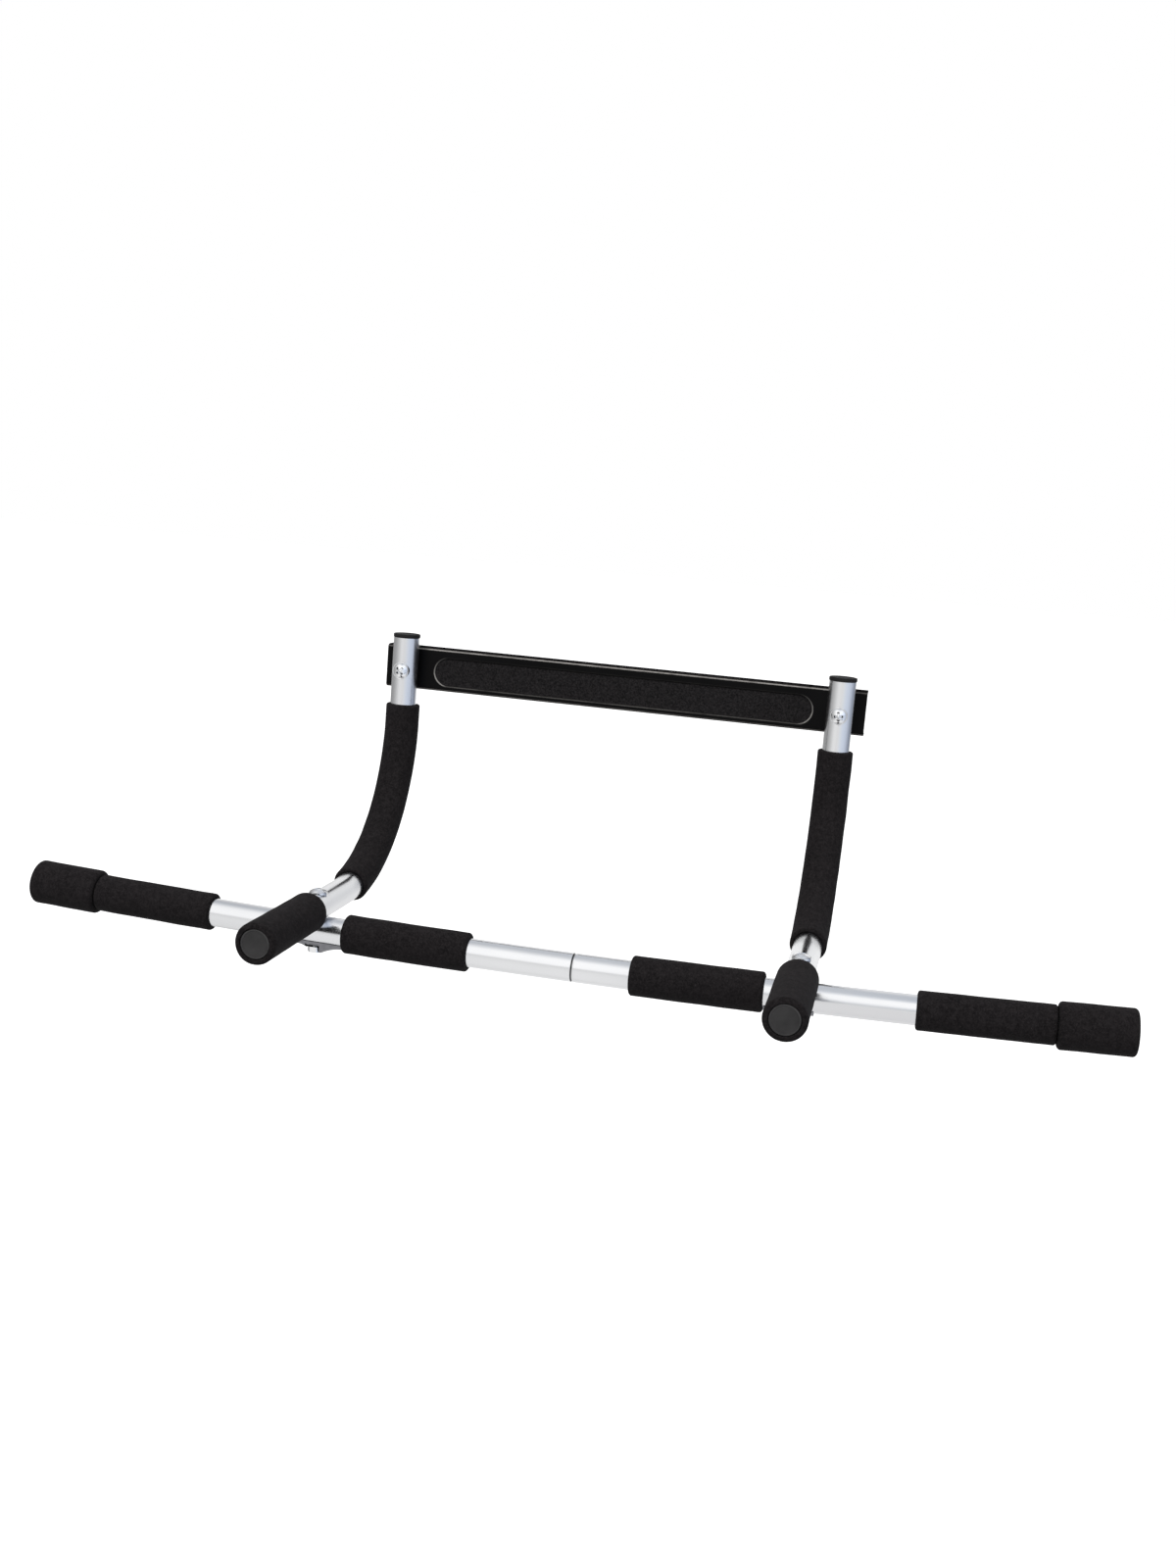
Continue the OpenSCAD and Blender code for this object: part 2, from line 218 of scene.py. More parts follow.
class Mat(Tree):
    """A Principled material; bumps are laid one on another."""

    def __init__(self, name):
        self.m = bpy.data.materials.new(name)
        self.m.use_nodes = True
        super().__init__(self.m.node_tree)
        self.bsdf = self.tree.nodes["Principled BSDF"]
        self.last_bump = None

    def bump(self, height, strength, distance):
        n = self.add("Bump")
        self.feed(n.inputs["Strength"], strength)
        self.feed(n.inputs["Distance"], distance)
        self.feed(n.inputs["Height"], height)
        if self.last_bump:
            self.feed(n.inputs["Normal"], self.last_bump)
        self.last_bump = n.outputs["Normal"]
        self.feed(self.bsdf.inputs["Normal"], self.last_bump)

    def set(self, **values):
        for key, v in values.items():
            self.feed(self.bsdf.inputs[key.replace("_", " ")], v)


def chrome_material():
    """Satin plated tube, with painted shade in the joint between the two bar tubes and in the
    narrow gaps between the foam sleeves."""
    t = Mat("chrome_tube")
    cloud = t.noise(7, 3, 0.5)
    smear = t.noise(12, 3, 0.55)
    fine = t.noise(420, 3, 0.6)
    metal = t.ramp(cloud, [(0.3, (0.765, 0.77, 0.785)), (0.7, (0.80, 0.805, 0.815))])
    along = t.split(t.place)[0]
    # Painted shade: a near-black band at the seam between the bar tubes and at the gaps between the foam
    # sleeves, where shade falls in the narrow gaps.
    off_seam = t.math("ABSOLUTE", t.math("SUBTRACT", along, SEAM_X + 0.15 * MM))
    seam = t.remap(off_seam, 0.25 * MM, 0.8 * MM, 1.0, 0.0)
    off_joint = t.math("ABSOLUTE", t.math("SUBTRACT", t.math("ABSOLUTE", along), FOAM_JOINT))
    joint = t.remap(off_joint, 1 * MM, 2 * MM, 1.0, 0.0)
    gap_shade = t.math("MAXIMUM", seam, joint)
    t.set(
        Base_Color=t.mix(gap_shade, metal, (0.04, 0.04, 0.045)),
        Roughness=t.remap(smear, 0.3, 0.7, 0.19, 0.25),
        Metallic=1.0,
    )
    t.bump(fine, 0.02, 0.00004)
    return t.m


def hardware_material():
    """Bright zinc bolts, nuts and washers, with painted shade in the driver recess and tight corners."""
    t = Mat("bright_hardware")
    cloud = t.noise(140, 4, 0.6)
    plate = t.ramp(cloud, [(0.3, (0.80, 0.805, 0.815)), (0.7, (0.92, 0.925, 0.93))])
    # Painted shade: occlusion lays near-black into the driver recess and tight corners.
    t.set(
        Base_Color=t.mix(t.crevice_shade(1.4 * MM, 0.3, 0.62), plate, (0.02, 0.02, 0.024)),
        Roughness=t.remap(t.noise(600, 3, 0.6), 0.3, 0.7, 0.14, 0.26),
        Metallic=1.0,
    )
    t.bump(t.noise(900, 3, 0.6), 0.06, 0.00008)
    return t.m


def cast_material():
    """Dull grey cast zinc of the saddles, with painted shade in its corners and recesses."""
    t = Mat("cast_metal")
    cloud = t.noise(120, 4, 0.6)
    grit = t.noise(800, 4, 0.7)
    cast = t.ramp(cloud, [(0.3, (0.20, 0.20, 0.215)), (0.7, (0.31, 0.31, 0.325))])
    # Painted shade: occlusion darkens the corners and recesses to near-black.
    t.set(
        Base_Color=t.mix(t.crevice_shade(4 * MM, 0.3, 0.8), cast, (0.03, 0.03, 0.035)),
        Roughness=t.remap(grit, 0.3, 0.7, 0.38, 0.55),
        Metallic=1.0,
    )
    t.bump(grit, 0.2, 0.00015)
    return t.m


def foam_material():
    """Closed-cell foam: matt near-black with a fine pitted grain and sparse pale cells."""
    t = Mat("foam")
    patch = t.noise(30, 4, 0.65)
    grain = t.noise(700, 5, 0.75)
    coarse = t.noise(240, 4, 0.7)
    cell = t.cells(520)
    speck = t.remap(t.cells(105), 0.0, 0.07, 1.0, 0.0)
    body = t.ramp(patch, [(0.3, (0.0058, 0.0051, 0.0054)), (0.7, (0.0098, 0.0085, 0.0091))])
    mottled = t.mix(t.remap(coarse, 0.44, 0.66, 0.0, 0.62), body, (0.0200, 0.0177, 0.0185))
    grained = t.mix(t.remap(grain, 0.46, 0.68, 0.0, 0.8), mottled, (0.030, 0.0268, 0.0278))
    t.set(
        Base_Color=t.mix(speck, grained, (0.045, 0.041, 0.043)),
        Roughness=t.remap(grain, 0.3, 0.7, 0.75, 0.95),
        Specular_IOR_Level=0.08,
    )
    t.bump(patch, 0.25, 0.0012)
    t.bump(cell, 0.4, 0.0003)
    t.bump(grain, 0.55, 0.00025)
    return t.m


def plate_material():
    """Black powder coat, smooth on the face, crackled in the pressed recess, with painted highlights
    in fine lines along the folds and round the ends and lower part of the recess."""
    t = Mat("black_plate")
    along, depth, height = t.split(t.place)
    inside = t.remap(depth, PLATE_FRONT + 0.9 * MM, PLATE_FRONT + 1.7 * MM, 0.0, 1.0)
    front = t.remap(depth, -3 * MM, -2 * MM, 1.0, 0.0)
    pressed = t.math("MULTIPLY", inside, front)
    streak = t.remap(t.noise(60, 5, 0.7), 0.3, 0.6, 0.45, 1.0)

    # Painted highlights: pale lines where the folds and the recess rim catch light, fading past the arms,
    # weaker on the lower fold, strongest at the ends and low part of the rim.
    def line(distance, core, fade):
        return t.remap(t.math("ABSOLUTE", distance), core, fade, 1.0, 0.0)

    span = t.math("ABSOLUTE", along)
    between = t.remap(span, ARM_X - 14 * MM, ARM_X + 6 * MM, 1.0, 0.3)
    top_fold = line(t.math("SUBTRACT", height, PLATE_H - 1.9 * MM), 0.3 * MM, 0.8 * MM)
    top_fold = t.math("MULTIPLY", top_fold, between)
    low_fold = line(t.math("SUBTRACT", height, 1.2 * MM), 0.3 * MM, 0.8 * MM)
    low_fold = t.math("MULTIPLY", low_fold, 0.5)
    past = t.math("MAXIMUM", t.math("SUBTRACT", span, RECESS_HALF - RECESS_R), 0.0)
    lift = t.math("SUBTRACT", height, RECESS_Z)
    square = t.math("ADD", t.math("POWER", past, 2.0), t.math("MULTIPLY", lift, lift))
    reach = t.math("SQRT", square)
    rim = line(t.math("SUBTRACT", reach, RECESS_R - 0.6 * MM), 0.25 * MM, 0.75 * MM)
    at_end = t.remap(past, 1 * MM, 8 * MM, 0.2, 1.0)
    low_down = t.remap(lift, -4 * MM, 12 * MM, 1.0, 0.25)
    rim = t.math("MULTIPLY", rim, t.math("MULTIPLY", at_end, low_down))
    painted_highlight = t.math("MAXIMUM", t.math("MAXIMUM", top_fold, low_fold), rim)
    painted_highlight = t.math("MULTIPLY", t.math("MULTIPLY", painted_highlight, front), streak)
    hammered = t.cells(560, "SMOOTH_F1")
    grit = t.noise(820, 4, 0.75)
    cloud = t.noise(16, 5, 0.6)
    base = t.ramp(cloud, [(0.3, (0.0022, 0.0021, 0.0023)), (0.7, (0.0045, 0.0043, 0.0046))])
    grainy = t.mix(t.remap(grit, 0.4, 0.66, 0.0, 1.0), base, (0.030, 0.0275, 0.0285))
    # The pale colour laid on here is the painted highlight.
    coat_and_highlights = t.mix(painted_highlight, t.mix(pressed, base, grainy), (0.34, 0.325, 0.31))
    _, rear, upward = t.split(t.coord.outputs["Normal"])
    flat = t.remap(t.math("ABSOLUTE", upward), 0.3, 0.8, 1.0, 0.0)
    sheen = t.math("MULTIPLY", flat, t.remap(rear, 0.0, 0.8, 0.055, 0.25))
    polish = t.remap(grit, 0.3, 0.7, 0.24, 0.36)
    t.set(
        Base_Color=coat_and_highlights,
        Roughness=t.math("ADD", polish, t.math("MULTIPLY", pressed, 0.22)),
        Specular_IOR_Level=sheen,
    )
    t.bump(t.math("MULTIPLY", hammered, pressed), 0.6, 0.0005)
    t.bump(grit, 0.1, 0.0001)
    return t.m


def plastic_material():
    """Moulded grey-black plastic of the plugs and caps, with a painted highlight on the rim of the
    handle plugs, stronger on its upper part."""
    t = Mat("plug_plastic")
    cloud = t.noise(60, 4, 0.6)
    grit = t.noise(900, 3, 0.6)
    body = t.ramp(cloud, [(0.3, (0.030, 0.0292, 0.0296)), (0.7, (0.048, 0.0467, 0.0474))])
    across, _, height = t.split(t.place)
    # Painted highlight: a pale ring on the rim of the handle plugs, strongest on its upper part.
    off_x = t.math("SUBTRACT", t.math("ABSOLUTE", across), ARM_X)
    off_z = t.math("SUBTRACT", height, ARM_Z)
    square = t.math("ADD", t.math("MULTIPLY", off_x, off_x), t.math("MULTIPLY", off_z, off_z))
    off_ring = t.math("ABSOLUTE", t.math("SUBTRACT", t.math("SQRT", square), PLUG_HIGHLIGHT_R))
    ring = t.remap(off_ring, 0.3 * MM, 0.8 * MM, 0.55, 0.0)
    ring = t.math("MULTIPLY", ring, t.remap(off_z, -4 * MM, 9 * MM, 0.15, 1.0))
    body = t.mix(ring, body, (0.125, 0.122, 0.124))
    aloft = t.remap(height, 0.0, 20 * MM, 0.0, 0.85)
    facing = t.remap(t.split(t.coord.outputs["Normal"])[2], 0.3, 0.9, 1.0, 0.1)
    t.set(
        Base_Color=t.mix(aloft, body, (0.008, 0.0078, 0.008)),
        Roughness=t.remap(grit, 0.3, 0.7, 0.42, 0.6),
        Specular_IOR_Level=t.math("MULTIPLY", facing, 0.16),
    )
    t.bump(grit, 0.2, 0.00014)
    t.bump(cloud, 0.1, 0.0004)
    return t.m


MATERIALS = {
    "chrome_tube": chrome_material(),
    "black_plate": plate_material(),
    "foam": foam_material(),
    "plug_plastic": plastic_material(),
    "bright_hardware": hardware_material(),
    "cast_metal": cast_material(),
}
SLOT_OF = {s["node"]: s["material_slot"] for s in frame["record"]["subparts"]}

for name, obj in nodes.items():
    mat = MATERIALS[SLOT_OF[name]]
    if not obj.material_slots:
        obj.data.materials.append(mat)
    for slot in obj.material_slots:
        slot.material = mat


# ---- mesh helpers ----
SHARP_EDGE = math.radians(38)


def finish_piece(name, verts, faces, replaced):
    """Make a riding piece that stands for the CAD nodes in replaced and takes their slot."""
    mesh = bpy.data.meshes.new(name)
    mesh.from_pydata([tuple(v) for v in verts], [], faces)
    bm = bmesh.new()
    bm.from_mesh(mesh)
    bmesh.ops.recalc_face_normals(bm, faces=bm.faces)
    bm.to_mesh(mesh)
    bm.free()
    mesh.shade_smooth()
    mesh.set_sharp_from_angle(angle=SHARP_EDGE)
    piece = bpy.data.objects.new(name, mesh)
    bpy.context.scene.collection.objects.link(piece)
    slot = SLOT_OF[replaced[0]]
    mesh.materials.append(MATERIALS[slot])
    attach(piece, "root")
    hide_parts(*replaced)
    return piece


def ring_faces(rings, segments, closed):
    """Quads between rings of vertices; closed joins the last ring to the first."""
    faces = []
    for j in range(rings if closed else rings - 1):
        k = (j + 1) % rings
        for i in range(segments):
            n = (i + 1) % segments
            faces.append((j * segments + i, j * segments + n, k * segments + n, k * segments + i))
    return faces


def cross_axes(direction, hint):
    d = direction.normalized()
    a = (hint - d * hint.dot(d)).normalized()
    return a, d.cross(a)


def sweep(name, path, profile, replaced, segments=96, shape=None, hint=Vector((1, 0, 0))):
    """Carry a closed wall outline round a path. path(t) gives the point and the direction at
    distance t, profile lists (distance, radius) round the wall, and shape moves each point."""
    verts = []
    for t, r in profile:
        centre, direction = path(t)
        a, b = cross_axes(direction, hint)
        for i in range(segments):
            ang = 2 * math.pi * i / segments
            point = centre + (a * math.cos(ang) + b * math.sin(ang)) * r
            verts.append(shape(point, centre, r) if shape else point)
    return finish_piece(name, verts, ring_faces(len(profile), segments, True), replaced)


def lathe(name, origin, axis, profile, replaced, segments=96):
    """Turn an open outline, given as (height, radius) from axis to axis, about a line."""
    a, b = cross_axes(axis, Vector((0.3, 0.5, 0.8)))
    inner = profile[1:-1]
    verts = []
    for h, r in inner:
        for i in range(segments):
            ang = 2 * math.pi * i / segments
            verts.append(origin + axis * h + (a * math.cos(ang) + b * math.sin(ang)) * r)
    faces = ring_faces(len(inner), segments, False)
    for row, (h, _) in ((0, profile[0]), (len(inner) - 1, profile[-1])):
        tip = len(verts)
        verts.append(origin + axis * h)
        base = row * segments
        faces += [(base + i, base + (i + 1) % segments, tip) for i in range(segments)]
    return finish_piece(name, verts, faces, replaced)


def spread(t0, t1, step, fine=None, fine_step=1 * MM):
    """Distances from t0 to t1, close together inside the stretch called fine."""
    out = [t0]
    while out[-1] < t1 - 1e-6:
        here = out[-1]
        inside = fine is not None and fine[0] <= here < fine[1]
        leap = fine_step if inside else step
        if fine is not None and here < fine[0] < here + leap:
            leap = fine[0] - here
        out.append(min(here + leap, t1))
    return out


# ---- courses of the bar and the arms ----
def bar_path(side):
    def at(t):
        p = bar_point(t)
        a = bow_angle(t)
        return Vector((side * p.x, p.y, p.z)), Vector((side * math.cos(a), 0, math.sin(a)))

    return at


def arm_path(side):
    """Distance 0 is where the bend begins; the handle lies at negative distances."""

    def at(t):
        if t < 0:
            return Vector((side * ARM_X, BAR_Y + BEND_START + t, ARM_Z)), Vector((0, 1, 0))
        if t < QUARTER:
            a = t / BEND_R
            y = BAR_Y + BEND_START + BEND_R * math.sin(a)
            z = ARM_Z + BEND_R * (1 - math.cos(a))
            return Vector((side * ARM_X, y, z)), Vector((0, math.cos(a), math.sin(a)))
        z = ARM_Z + BEND_R + t - QUARTER
        return Vector((side * ARM_X, UPRIGHT_Y, z)), Vector((0, 0, 1))

    return at


# ---- bar tubes ----
SEAT_R = TUBE_R + FIT
SEAT_HALF = 16 * MM
SEAT_SPAN = (ARM_X - SEAT_HALF, ARM_X + SEAT_HALF)
LIP = 0.5 * MM
TAPER = 3.5 * MM
NOSE = 0.55 * MM
ROOT = 7 * MM


def press_seat(point, centre, r):
    """Dent the top of the bar where the arm lies in it."""
    dx = abs(point.x) - ARM_X
    reach = SEAT_R if r > BORE_R + 0.1 * MM else SEAT_R + WALL
    if abs(dx) < reach:
        floor = ARM_Z - math.sqrt(reach * reach - dx * dx)
        if point.z > floor:
            return Vector((point.x, point.y, floor))
    return point


def bar_outside(t0, nose):
    """Outer wall from the joint end to the far end; nose is how much the joint end narrows."""
    out = [(t0, TUBE_R - nose - LIP), (t0 + 0.25 * MM, TUBE_R - nose - 0.15 * MM)]
    if nose:
        out += [(t0 + TAPER * f, TUBE_R - nose * (1 - f) ** 2) for f in (0.25, 0.5, 0.75)]
    out += [(t, TUBE_R) for t in spread(t0 + TAPER, BAR_HALF - LIP, 6 * MM, SEAT_SPAN)]
    out.append((BAR_HALF, TUBE_R - LIP))
    return out


def bar_inside(t0):
    return [(t, BORE_R) for t in reversed(spread(t0, BAR_HALF, 12 * MM, SEAT_SPAN))]


def make_bar():
    up = Vector((0, 0, 1))
    left = bar_outside(-SEAM_X, 0.0) + bar_inside(-SEAM_X)
    sweep("bar_tube_left", bar_path(-1), left, ["main_tube_left"], shape=press_seat, hint=up)
    shoulder = SEAM_X + FIT
    spigot = [
        (shoulder + ROOT, BORE_R),
        (shoulder + ROOT, BORE_R - FIT - WALL),
        (SEAM_X - SPIGOT_LEN, BORE_R - FIT - WALL),
        (SEAM_X - SPIGOT_LEN, BORE_R - FIT),
        (shoulder, BORE_R - FIT),
    ]
    right = bar_outside(shoulder, NOSE) + bar_inside(shoulder + ROOT + 0.5 * MM) + spigot
    sweep("bar_tube_right", bar_path(1), right, ["main_tube_right"], shape=press_seat, hint=up)


# ---- arm tubes ----
def make_arm(tag, side):
    t0 = -(HANDLE_LEN + BEND_START)
    t1 = QUARTER + UPRIGHT_LEN
    stations = spread(t0 + LIP, t1 - LIP, 8 * MM, (0, QUARTER), 3 * MM)
    wall = [(t0, TUBE_R - LIP)] + [(t, TUBE_R) for t in stations] + [(t1, TUBE_R - LIP)]
    wall += [(t1, BORE_R)] + [(t, BORE_R) for t in reversed(stations)] + [(t0, BORE_R)]
    sweep("arm_tube_" + tag, arm_path(side), wall, ["arm_" + tag])


# ---- foam ----
BUMPER = dict(d=39.4 * MM, length=62 * MM, end=485 * MM, edge=3.4 * MM)
OUTER = dict(d=33.2 * MM, length=111.5 * MM, end=422.6 * MM, edge=2.4 * MM)
INNER = dict(d=34.4 * MM, length=114 * MM, end=185.8 * MM, edge=2.6 * MM)
HANDLE = dict(d=35.4 * MM, front=-HANDLE_LEN - 3 * MM, back=-21 * MM, edge=3.2 * MM)
SLEEVE = dict(d=33 * MM, start=24 * MM, above=12.5 * MM, edge=1.6 * MM)
LUMP = 0.28 * MM
LUMPS_PER_M = 48
MOUTH = 0.8 * MM
MOUTH_DIP = 0.4 * MM
FOAM_STEP = 3.5 * MM
FOAM_SEGMENTS = 120
ROUND_STEPS = 8


def foam_profile(t0, t1, r_out, edge):
    """Wall outline of a foam sleeve: soft rounded mouths that draw in a little."""
    quarter = [math.pi / 2 * k / ROUND_STEPS for k in range(ROUND_STEPS + 1)]
    out = []
    for a in quarter:
        sag = MOUTH_DIP * (1 - math.sin(a))
        out.append((t0 + edge * (1 - math.cos(a)), r_out - edge * (1 - math.sin(a)) - sag))
    out += [(t, r_out) for t in spread(t0 + edge, t1 - edge, FOAM_STEP)[1:-1]]
    for a in reversed(quarter):
        sag = MOUTH_DIP * (1 - math.sin(a))
        out.append((t1 - edge * (1 - math.cos(a)), r_out - edge * (1 - math.sin(a)) - sag))
    out += [(t1 + 0.1 * MM, FOAM_IN + MOUTH), (t1 - 0.3 * MM, FOAM_IN)]
    out += [(t, FOAM_IN) for t in reversed(spread(t0 + 2 * MM, t1 - 2 * MM, 4 * MM))]
    out += [(t0 + 0.3 * MM, FOAM_IN), (t0 - 0.1 * MM, FOAM_IN + MOUTH)]
    return out


def foam_lumps(point, centre, r):
    """Slight unevenness of the skin, none at the bore."""
    if r < FOAM_IN + 1.2 * MM:
        return point
    ray = (point - centre).normalized()
    return point + ray * LUMP * noise.noise(point * LUMPS_PER_M + Vector((3, 7, 1)))


def make_foam(node, path, profile, hint):
    sweep("foam_" + node, path, profile, [node], FOAM_SEGMENTS, foam_lumps, hint)


def make_bar_foam(tag, side):
    for kind, f in (("bumper", BUMPER), ("outer_grip", OUTER), ("inner_grip", INNER)):
        profile = foam_profile(f["end"] - f["length"], f["end"], f["d"] / 2, f["edge"])
        make_foam(kind + "_" + tag, bar_path(side), profile, Vector((0, 0, 1)))


def make_arm_foam(tag, side):
    path = arm_path(side)
    across = Vector((1, 0, 0))
    front, back = HANDLE["front"] - BEND_START, HANDLE["back"] - BEND_START
    grip = foam_profile(front, back, HANDLE["d"] / 2, HANDLE["edge"])
    make_foam("handle_grip_" + tag, path, grip, across)
    upper = QUARTER + SLEEVE["above"]
    sleeve = foam_profile(SLEEVE["start"], upper, SLEEVE["d"] / 2, SLEEVE["edge"])
    make_foam("arm_sleeve_" + tag, path, sleeve, across)


# ---- plugs and caps ----
STEM = 14 * MM
STEM_WALL = 1.6 * MM
STEM_ROOF = 1.5 * MM
FLANGE_BREAK = 0.15 * MM
FLANGE_ROUND = 0.8 * MM
HANDLE_PLUG = dict(flange_r=TUBE_R, flange_h=1.8 * MM, dish=0.7 * MM, rim=1.6 * MM)
UPRIGHT_CAP = dict(flange_r=TUBE_R + 0.4 * MM, flange_h=3.2 * MM, dish=0.5 * MM, rim=2 * MM)
BAR_PLUG = dict(flange_r=TUBE_R, flange_h=1.6 * MM, dish=0.6 * MM, rim=1.6 * MM)


def plug_profile(flange_r, flange_h, dish, rim):
    """Push-in plug: hollow stem below height 0, flange above with a raised rim and a dished
    face."""
    stem_r = BORE_R - FIT
    hollow_r = stem_r - STEM_WALL
    floor_r = flange_r - rim
    out = [(-STEM_ROOF, 0), (-STEM_ROOF, hollow_r), (-STEM, hollow_r), (-STEM, stem_r)]
    out += [(0, stem_r), (0, flange_r - FLANGE_BREAK), (FLANGE_BREAK, flange_r)]
    for k in range(7):
        a = math.pi / 2 * k / 6
        height = flange_h - FLANGE_ROUND * (1 - math.sin(a))
        out.append((height, flange_r - FLANGE_ROUND * (1 - math.cos(a))))
    out += [(flange_h, floor_r + 0.7 * MM), (flange_h - 0.1 * MM, floor_r + 0.4 * MM)]
    out += [(flange_h - dish, floor_r), (flange_h - dish - 0.05 * MM, floor_r * 0.6), (flange_h - dish, 0)]
    return out


def make_plugs(tag, side):
    front = Vector((side * ARM_X, BAR_Y - HANDLE_LEN, ARM_Z))
    handle = plug_profile(**HANDLE_PLUG)
    lathe("plug_handle_" + tag, front, Vector((0, -1, 0)), handle, ["handle_plug_" + tag])
    top = Vector((side * ARM_X, UPRIGHT_Y, UPRIGHT_TOP))
    cap = plug_profile(**UPRIGHT_CAP)
    lathe("cap_upright_" + tag, top, Vector((0, 0, 1)), cap, ["upright_cap_" + tag])
    end, outward = bar_path(side)(BAR_HALF)
    bar_end = plug_profile(**BAR_PLUG)
    lathe("plug_bar_" + tag, end, outward, bar_end, ["bar_plug_" + tag])


# ---- bolts, washers and saddles ----
HEAD_R = 7.5 * MM
HEAD_H = 4.2 * MM
LOW_HEAD_H = 3 * MM
SHANK_R = 4 * MM
WASHER_T = 1.2 * MM
LOW_WASHER_T = 0.6 * MM
FLAT_WASHER_T = 1.6 * MM
WASHER_R = 8.2 * MM
HOLE_R = 4.4 * MM
CROWN = TUBE_R + FIT + WASHER_T
LOW_CROWN = TUBE_R + FIT + LOW_WASHER_T
SADDLE_IN = TUBE_R + FIT
SADDLE_T = 1.8 * MM
SADDLE_W = 18.4 * MM
NUT_SLOT = 6.8 * MM
LIP_INNER = dict(length=27 * MM, drop=7.3 * MM)
LIP_OUTER = dict(length=15 * MM, drop=3.6 * MM)
LIP_END = 1.8 * MM
NUT = 6.5 * MM
THIN_NUT = 5 * MM
NUT_GAP = 0.2 * MM
TAIL = 2.9 * MM
THIN_TAIL = 0.4 * MM
BAR_TURN = 0.5
PLATE_TURN = {"left": 0.75, "right": 0.1}
CROSS_LEN = 4.4 * MM
CROSS_HALF = 0.8 * MM
CROSS_DEPTH = 2.3 * MM


def cross_recess(u, v):
    """Depth of the cross-shaped driver recess at a place on the head."""
    deepest = 0.0
    for along, over in ((abs(u), abs(v)), (abs(v), abs(u))):
        width = CROSS_HALF * (0.8 + 0.35 * along / CROSS_LEN)
        edge = min(1.0, max(0.0, (width - over) / (0.3 * MM) + 0.5))
        end = min(1.0, max(0.0, (CROSS_LEN - along) / (0.6 * MM)))
        deepest = max(deepest, edge * end * (0.45 + 0.55 * min(1.0, along / CROSS_LEN + 0.2)))
    return CROSS_DEPTH * deepest


def make_bolt(name, seat, axis, turn, shank, head_h, replaced):
    """Domed bolt with its seat at a point, its head along axis and its shank the other way."""
    a, b = cross_axes(axis, turn)
    dome_r = (HEAD_R * HEAD_R + head_h * head_h) / (2 * head_h)
    segments = 96
    radii = [k * 0.2 * MM for k in range(1, 36)] + [HEAD_R - 0.15 * MM]
    verts = [seat + axis * (head_h - cross_recess(0, 0))]
    for r in radii:
        height = head_h - dome_r + math.sqrt(dome_r * dome_r - r * r)
        for i in range(segments):
            ang = 2 * math.pi * i / segments
            u, v = r * math.cos(ang), r * math.sin(ang)
            verts.append(seat + a * u + b * v + axis * (height - cross_recess(u, v)))
    below = [(0.35 * MM, HEAD_R), (0.0, HEAD_R - 0.1 * MM), (0.0, SHANK_R)]
    below += [(-shank + 0.6 * MM, SHANK_R), (-shank, SHANK_R - 0.6 * MM)]
    for h, r in below:
        for i in range(segments):
            ang = 2 * math.pi * i / segments
            verts.append(seat + a * (r * math.cos(ang)) + b * (r * math.sin(ang)) + axis * h)
    rings = len(radii) + len(below)
    faces = [tuple(1 + n for n in f) for f in ring_faces(rings, segments, False)]
    faces += [(0, 1 + i, 1 + (i + 1) % segments) for i in range(segments)]
    tip = len(verts)
    verts.append(seat - axis * shank)
    last = 1 + (rings - 1) * segments
    faces += [(tip, last + i, last + (i + 1) % segments) for i in range(segments)]
    finish_piece(name, verts, faces, replaced)


def washer_mesh(centre, axis, along, top):
    """Round washer with a flat top, whose underside hugs a tube that runs along a line."""
    across = axis.cross(along)
    segments = 96
    rings = [(HOLE_R, 0), (HOLE_R, 1), (WASHER_R - 0.3 * MM, 1), (WASHER_R, 0.8), (WASHER_R, 0)]
    verts = []
    for r, level in rings:
        for i in range(segments):
            ang = 2 * math.pi * i / segments
            u, v = r * math.cos(ang), r * math.sin(ang)
            low = math.sqrt(SEAT_R * SEAT_R - v * v)
            height = low + (top - low) * level
            verts.append(centre + along * u + across * v + axis * height)
    return verts, ring_faces(len(rings), segments, True)


def make_washers():
    """The four curved washers are one piece, as they are one node."""
    verts, faces = [], []
    for side in SIDES.values():
        over_bar = Vector((side * ARM_X, BAR_Y, ARM_Z))
        on_upright = Vector((side * ARM_X, UPRIGHT_Y, PLATE_BOLT_Z))
        spots = (
            (over_bar, Vector((0, 0, 1)), Vector((0, 1, 0)), LOW_CROWN),
            (on_upright, Vector((0, -1, 0)), Vector((0, 0, 1)), CROWN),
        )
        for centre, axis, along, top in spots:
            v, f = washer_mesh(centre, axis, along, top)
            faces += [tuple(len(verts) + n for n in face) for face in f]
            verts += v
    finish_piece("washers_curved", verts, faces, ["saddle_washers"])


def saddle_stations():
    """Pairs of distance from the bolt and outer radius: a deep lip towards the middle of the
    bar, a thin floor under the nut and a short lip on the far side."""

    def lip(length, drop):
        out = []
        for x in spread(NUT_SLOT, length, 1 * MM):
            rise = (length - x) / (length - NUT_SLOT)
            out.append((x, SADDLE_IN + LIP_END + (drop - LIP_END) * rise * rise))
        return out

    floor_r = SADDLE_IN + SADDLE_T
    edge = NUT_SLOT - 0.02 * MM
    inner = [(-x, r) for x, r in reversed(lip(**LIP_INNER))]
    return inner + [(-edge, floor_r), (edge, floor_r)] + lip(**LIP_OUTER)


